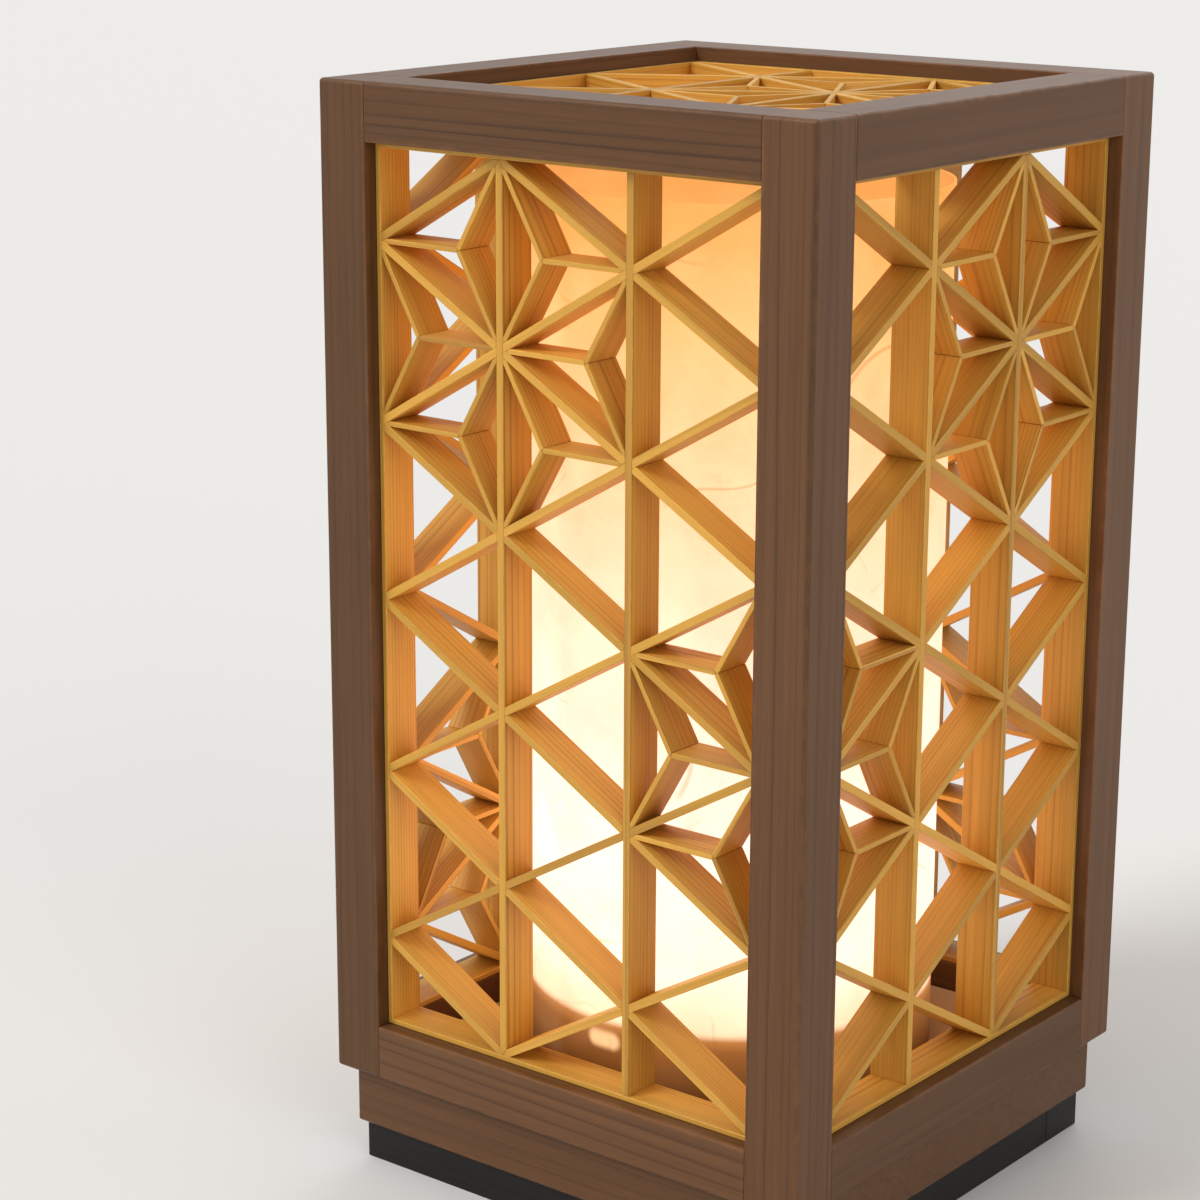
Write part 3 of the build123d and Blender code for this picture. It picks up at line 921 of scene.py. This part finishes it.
def bulb_outline(cap_top):
    """The outline of the bulb's glass: neck, shoulder, straight side and domed end."""
    low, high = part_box("bulb_glass")
    outline = [(0.0, low.z), (NECK_RADIUS, low.z), (NECK_RADIUS, cap_top)]
    for step in range(1, CURVE_STEPS + 1):
        share = step / CURVE_STEPS
        swell = 0.5 - 0.5 * math.cos(math.pi * share)
        radius = NECK_RADIUS + (high.x - NECK_RADIUS) * swell
        outline.append((radius, cap_top + SHOULDER_RISE * share))
    for step in range(CURVE_STEPS + 1):
        turn = 0.5 * math.pi * step / CURVE_STEPS
        outline.append((high.x * math.cos(turn), high.z - DOME_RISE * (1 - math.sin(turn))))
    return outline


def turned(name, outline, turn_steps, material, body, node):
    """A piece turned round the lamp's axis from an outline of (radius, height) points."""
    bm = bmesh.new()
    verts = [bm.verts.new((radius, 0, height)) for radius, height in outline]
    edges = [bm.edges.new(pair) for pair in zip(verts, verts[1:] + verts[:1])]
    bmesh.ops.spin(
        bm,
        geom=verts + edges,
        cent=(0, 0, 0),
        axis=(0, 0, 1),
        angle=2 * math.pi,
        steps=turn_steps,
        use_merge=True,
    )
    bmesh.ops.remove_doubles(bm, verts=bm.verts, dist=WELD)
    loose = [edge for edge in bm.edges if not edge.link_faces]
    bmesh.ops.delete(bm, geom=loose, context="EDGES")
    bmesh.ops.recalc_face_normals(bm, faces=bm.faces)
    smooth(finish_piece(name, bm, material, body, node), TURNED_SMOOTH)


# ---------------------------------------------------------------- the lamp's pieces
class ANDON_OT_frame(bpy.types.Operator):
    """Build the posts and rails of the shade's frame"""

    bl_idname = "andon.frame"
    bl_label = "Frame Timbers"
    bl_options = {"REGISTER", "UNDO"}

    def execute(self, context):
        wood = cedar(context)
        easing = context.scene.andon_sizes.frame_easing
        for corner in CORNERS:
            timber(f"{corner}_post", wood, "shade", easing, X, Z)
        for side in SIDES:
            depth = OUTWARD[side]
            along = depth.cross(Z)
            for rail in ("bottom_rail", "top_rail"):
                timber(f"{side}_{rail}", wood, "shade", easing, depth, along)
        return {"FINISHED"}


class ANDON_OT_lattice(bpy.types.Operator):
    """Build the slats and star leaves of the five lattice panels"""

    bl_idname = "andon.lattice"
    bl_label = "Lattice"
    bl_options = {"REGISTER", "UNDO"}

    def execute(self, context):
        sizes = context.scene.andon_sizes
        wood = hinoki(context)
        families = [(family, sizes.slat_easing) for family in SLATS]
        families.append(("star_leaves", sizes.leaf_easing))
        for panel in PANELS:
            depth = OUTWARD[panel]
            for family, easing in families:
                node = f"{panel}_{family}"
                timber(node, wood, "shade", easing, depth, facets=STICK_STEPS)
        return {"FINISHED"}


class ANDON_OT_base(bpy.types.Operator):
    """Build the base board, the locating board and the black plinth"""

    bl_idname = "andon.base"
    bl_label = "Base"
    bl_options = {"REGISTER", "UNDO"}

    def execute(self, context):
        easing = context.scene.andon_sizes.frame_easing
        pale, black = plain_wood(context), black_wood(context)
        timber("base_board", cedar(context), "base", easing, Z, X)
        timber("locating_board", pale, "base", easing, Z, X)
        for side in SIDES:
            depth = OUTWARD[side]
            along = depth.cross(Z)
            timber(f"{side}_plinth_rail", black, "base", easing, depth, along)
        return {"FINISHED"}


class ANDON_OT_vent_ring(bpy.types.Operator):
    """Build the slotted wooden ring that the paper stands round"""

    bl_idname = "andon.vent_ring"
    bl_label = "Vent Ring"
    bl_options = {"REGISTER", "UNDO"}

    def execute(self, context):
        easing = context.scene.andon_sizes.frame_easing
        timber("vent_ring", plain_wood(context), "base", easing, Y, X)
        return {"FINISHED"}


PAPER_WALL = 0.6 * MM
PAPER_ROWS = 40
PAPER_HELD = 60 * MM  # height above which the paper wavers freely
# Waves round the paper: how many, how they lean with height in metres, and their share.
PAPER_WAVES = ((3, 9, 1.0), (7, -22, 0.6))
PAPER_SWAY = sum(share for count, lean, share in PAPER_WAVES)


class ANDON_OT_paper(bpy.types.Operator):
    """Build the washi paper cylinder"""

    bl_idname = "andon.paper"
    bl_label = "Paper Cylinder"
    bl_options = {"REGISTER", "UNDO"}

    def execute(self, context):
        sizes = context.scene.andon_sizes
        low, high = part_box("paper_cylinder")
        radius = high.x
        bm = bmesh.new()
        middle = radius - PAPER_WALL / 2
        bmesh.ops.create_circle(bm, segments=sizes.paper_steps, radius=middle)
        bmesh.ops.translate(bm, verts=bm.verts, vec=(0, 0, low.z))
        rim = list(bm.edges)
        rise = (0, 0, (high.z - low.z) / PAPER_ROWS)
        for row in range(PAPER_ROWS):
            grown = bmesh.ops.extrude_edge_only(bm, edges=rim)["geom"]
            fresh = [item for item in grown if isinstance(item, bmesh.types.BMVert)]
            edges = [item for item in grown if isinstance(item, bmesh.types.BMEdge)]
            rim = [edge for edge in edges if all(vertex in fresh for vertex in edge.verts)]
            bmesh.ops.translate(bm, verts=fresh, vec=rise)
        for vertex in bm.verts:
            turn = math.atan2(vertex.co.y, vertex.co.x)
            free = min(1.0, max(0.0, (vertex.co.z - low.z) / PAPER_HELD))
            sway = sum(
                share * math.sin(count * turn + lean * vertex.co.z)
                for count, lean, share in PAPER_WAVES
            )
            vertex.co.xy *= 1 + free * sizes.paper_waver * (sway - PAPER_SWAY) / 2 / radius
        bmesh.ops.recalc_face_normals(bm, faces=bm.faces)
        paper = washi(context)
        piece = finish_piece("washi_cylinder", bm, paper, "paper", "paper_cylinder")
        piece.data.materials.append(washi(context, "washi_inside", INSIDE_SHARE))
        thickness = piece.modifiers.new("wall", "SOLIDIFY")
        thickness.thickness = PAPER_WALL
        thickness.offset = 0.0
        thickness.material_offset = 1
        smooth(piece, TURNED_SMOOTH)
        return {"FINISHED"}


SHELL_FIT = 0.07 * MM  # shell's thread inside the shell's outer face
SMALL_EASING = 0.3  # easing of the small fittings, as a share of the holder's


class ANDON_OT_holder(bpy.types.Operator):
    """Build the ceramic lamp holder, its brass shell, contact and screws"""

    bl_idname = "andon.holder"
    bl_label = "Lamp Holder"
    bl_options = {"REGISTER", "UNDO"}

    def execute(self, context):
        sizes = context.scene.andon_sizes
        metal = brass(context)
        low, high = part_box("holder_shell")
        outline = threaded_tube(low.z, high.z, high.x - SHELL_FIT)
        turned("socket_shell", outline, sizes.turn_steps, metal, "base", "holder_shell")
        easing = sizes.holder_easing
        small = SMALL_EASING * easing
        fitting("lamp_holder", glaze(context), "base", easing, HOLDER_STEPS)
        fitting("centre_contact", metal, "base", small, HOLDER_STEPS)
        fitting("holder_screws", steel(context), "base", small, HOLDER_STEPS)
        return {"FINISHED"}


BULB_EASING = 0.1 * MM


class ANDON_OT_bulb(bpy.types.Operator):
    """Build the frosted bulb and its screw cap"""

    bl_idname = "andon.bulb"
    bl_label = "Bulb"
    bl_options = {"REGISTER", "UNDO"}

    def execute(self, context):
        count = context.scene.andon_sizes.turn_steps
        low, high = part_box("bulb_cap")
        outline = threaded_tube(low.z, high.z, high.x)
        turned("screw_cap", outline, count, brass(context), "bulb", "bulb_cap")
        outline = bulb_outline(high.z)
        frosted = frosted_glass(context)
        turned("frosted_bulb", outline, count, frosted, "bulb", "bulb_glass")
        for node, material, slot_name in (
            ("bulb_stem", clear_glass(context), "clear_glass"),
            ("bulb_filament", steel(context), "steel"),
            ("bulb_leads", steel(context), "steel"),
            ("bulb_insulator", black_glass(context), "black_glass"),
            ("bulb_tip", steel(context), "steel"),
        ):
            fitting(node, material, "bulb", BULB_EASING)
        return {"FINISHED"}


BUSH_EASING = 0.3 * MM


class ANDON_OT_cord_bush(bpy.types.Operator):
    """Build the rubber bush of the cord inlet"""

    bl_idname = "andon.cord_bush"
    bl_label = "Cord Bush"
    bl_options = {"REGISTER", "UNDO"}

    def execute(self, context):
        fitting("cord_bush", rubber(context), "base", BUSH_EASING)
        return {"FINISHED"}


# ---------------------------------------------------------------- stage
FLOOR_RADIUS = 12.0
FLOOR_STEPS = 64
AIM = Vector((0.0, 0.0, 0.125))
# Name, place that the light comes from, spread over the sky in degrees, and strength.
LIGHTS = (
    ("key_light", (-0.8, -1.5, 1.6), 24.0, 1.55),
    ("fill_light", (1.9, -0.6, 1.0), 40.0, 0.55),
    ("rear_light", (-0.6, 2.0, 1.8), 40.0, 0.45),
)
ROOM_LIGHT = (1.0, 1.0, 1.0)
ROOM_STRENGTH = 0.55
BACKDROP = (0.86, 0.855, 0.845)
BACKDROP_STRENGTH = 1.0
CAMERA_LENS = 91.58
CAMERA_SENSOR = 36.0
CAMERA_PLACE = (0.39490, -0.54353, 0.31326)
CAMERA_TURN = (74.98241, -0.20335, 38.67270)


def add_floor(context):
    """The round pale floor."""
    bm = bmesh.new()
    bmesh.ops.create_circle(bm, cap_ends=True, segments=FLOOR_STEPS, radius=FLOOR_RADIUS)
    mesh = bpy.data.meshes.new("floor")
    bm.to_mesh(mesh)
    bm.free()
    mesh.materials.append(plain_floor(context))
    floor = bpy.data.objects.new("floor", mesh)
    context.scene.collection.objects.link(floor)
    floor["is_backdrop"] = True


def add_light(context, name, place, spread, strength):
    """A soft distant light from a place towards the lamp."""
    data = bpy.data.lights.new(name, "SUN")
    data.angle = math.radians(spread)
    data.energy = strength
    light = bpy.data.objects.new(name, data)
    light.location = place
    light.rotation_euler = (AIM - Vector(place)).to_track_quat("-Z", "Y").to_euler()
    context.scene.collection.objects.link(light)


def add_room(context):
    """An even sky that shows as a pale backdrop."""
    world = bpy.data.worlds.new("pale_room")
    world.use_nodes = True
    context.scene.world = world
    tree = Tree(world.node_tree)
    shell = world.node_tree.nodes["Background"]
    path = tree.add("ShaderNodeLightPath").outputs
    seen = tree.math("MAXIMUM", path["Is Camera Ray"], path["Is Glossy Ray"])
    seen = tree.math("MAXIMUM", seen, path["Is Transmission Ray"])
    tree.put(shell.inputs["Color"], tree.mix(seen, opaque(ROOM_LIGHT), opaque(BACKDROP)))
    strength = tree.ramp(seen, 0.0, 1.0, ROOM_STRENGTH, BACKDROP_STRENGTH)
    tree.put(shell.inputs["Strength"], strength)


def add_camera(context):
    """The camera."""
    data = bpy.data.cameras.new("camera")
    data.lens = CAMERA_LENS
    data.sensor_width = CAMERA_SENSOR
    camera = bpy.data.objects.new("camera", data)
    camera.location = CAMERA_PLACE
    camera.rotation_euler = [math.radians(turn) for turn in CAMERA_TURN]
    context.scene.collection.objects.link(camera)
    context.scene.camera = camera


class ANDON_OT_stage(bpy.types.Operator):
    """Build the pale floor, the soft lights, the sky and the camera"""

    bl_idname = "andon.stage"
    bl_label = "Stage"
    bl_options = {"REGISTER", "UNDO"}

    def execute(self, context):
        context.scene.view_settings.view_transform = "Standard"
        add_floor(context)
        for light in LIGHTS:
            add_light(context, *light)
        add_room(context)
        add_camera(context)
        return {"FINISHED"}


OPERATORS = (
    ANDON_OT_stage,
    ANDON_OT_frame,
    ANDON_OT_lattice,
    ANDON_OT_base,
    ANDON_OT_vent_ring,
    ANDON_OT_paper,
    ANDON_OT_holder,
    ANDON_OT_bulb,
    ANDON_OT_cord_bush,
)


class ANDON_PT_panel(bpy.types.Panel):
    """Sidebar panel with the lamp's settings and pieces"""

    bl_idname = "ANDON_PT_panel"
    bl_label = "Kumiko Andon Lamp"
    bl_space_type = "VIEW_3D"
    bl_region_type = "UI"
    bl_category = "Andon"

    def draw(self, context):
        for group in (context.scene.andon_sizes, context.scene.andon_colours):
            box = self.layout.box()
            for name in group.__annotations__:
                box.prop(group, name)
        for operator in OPERATORS:
            self.layout.operator(operator.bl_idname)


CLASSES = (AndonSizes, AndonColours, *OPERATORS, ANDON_PT_panel)


def register():
    for item in CLASSES:
        bpy.utils.register_class(item)
    bpy.types.Scene.andon_sizes = PointerProperty(type=AndonSizes)
    bpy.types.Scene.andon_colours = PointerProperty(type=AndonColours)


def unregister():
    del bpy.types.Scene.andon_colours
    del bpy.types.Scene.andon_sizes
    for item in reversed(CLASSES):
        bpy.utils.unregister_class(item)


def write_sizes():
    """Build the text of the boxes of the frame and of the finished lamp; nothing writes it out."""
    boxes = {"cad": cad_box, "visual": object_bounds()}
    lines = []
    for name, box in boxes.items():
        lines.append(f'"{name}": {[[round(n, 6) for n in corner] for corner in box]}')
    "{" + ", ".join(lines) + "}\n"


def main():
    register()
    for operator in OPERATORS:
        category, name = operator.bl_idname.split(".")
        getattr(getattr(bpy.ops, category), name)()
    write_sizes()


if __name__ == "__main__":
    main()
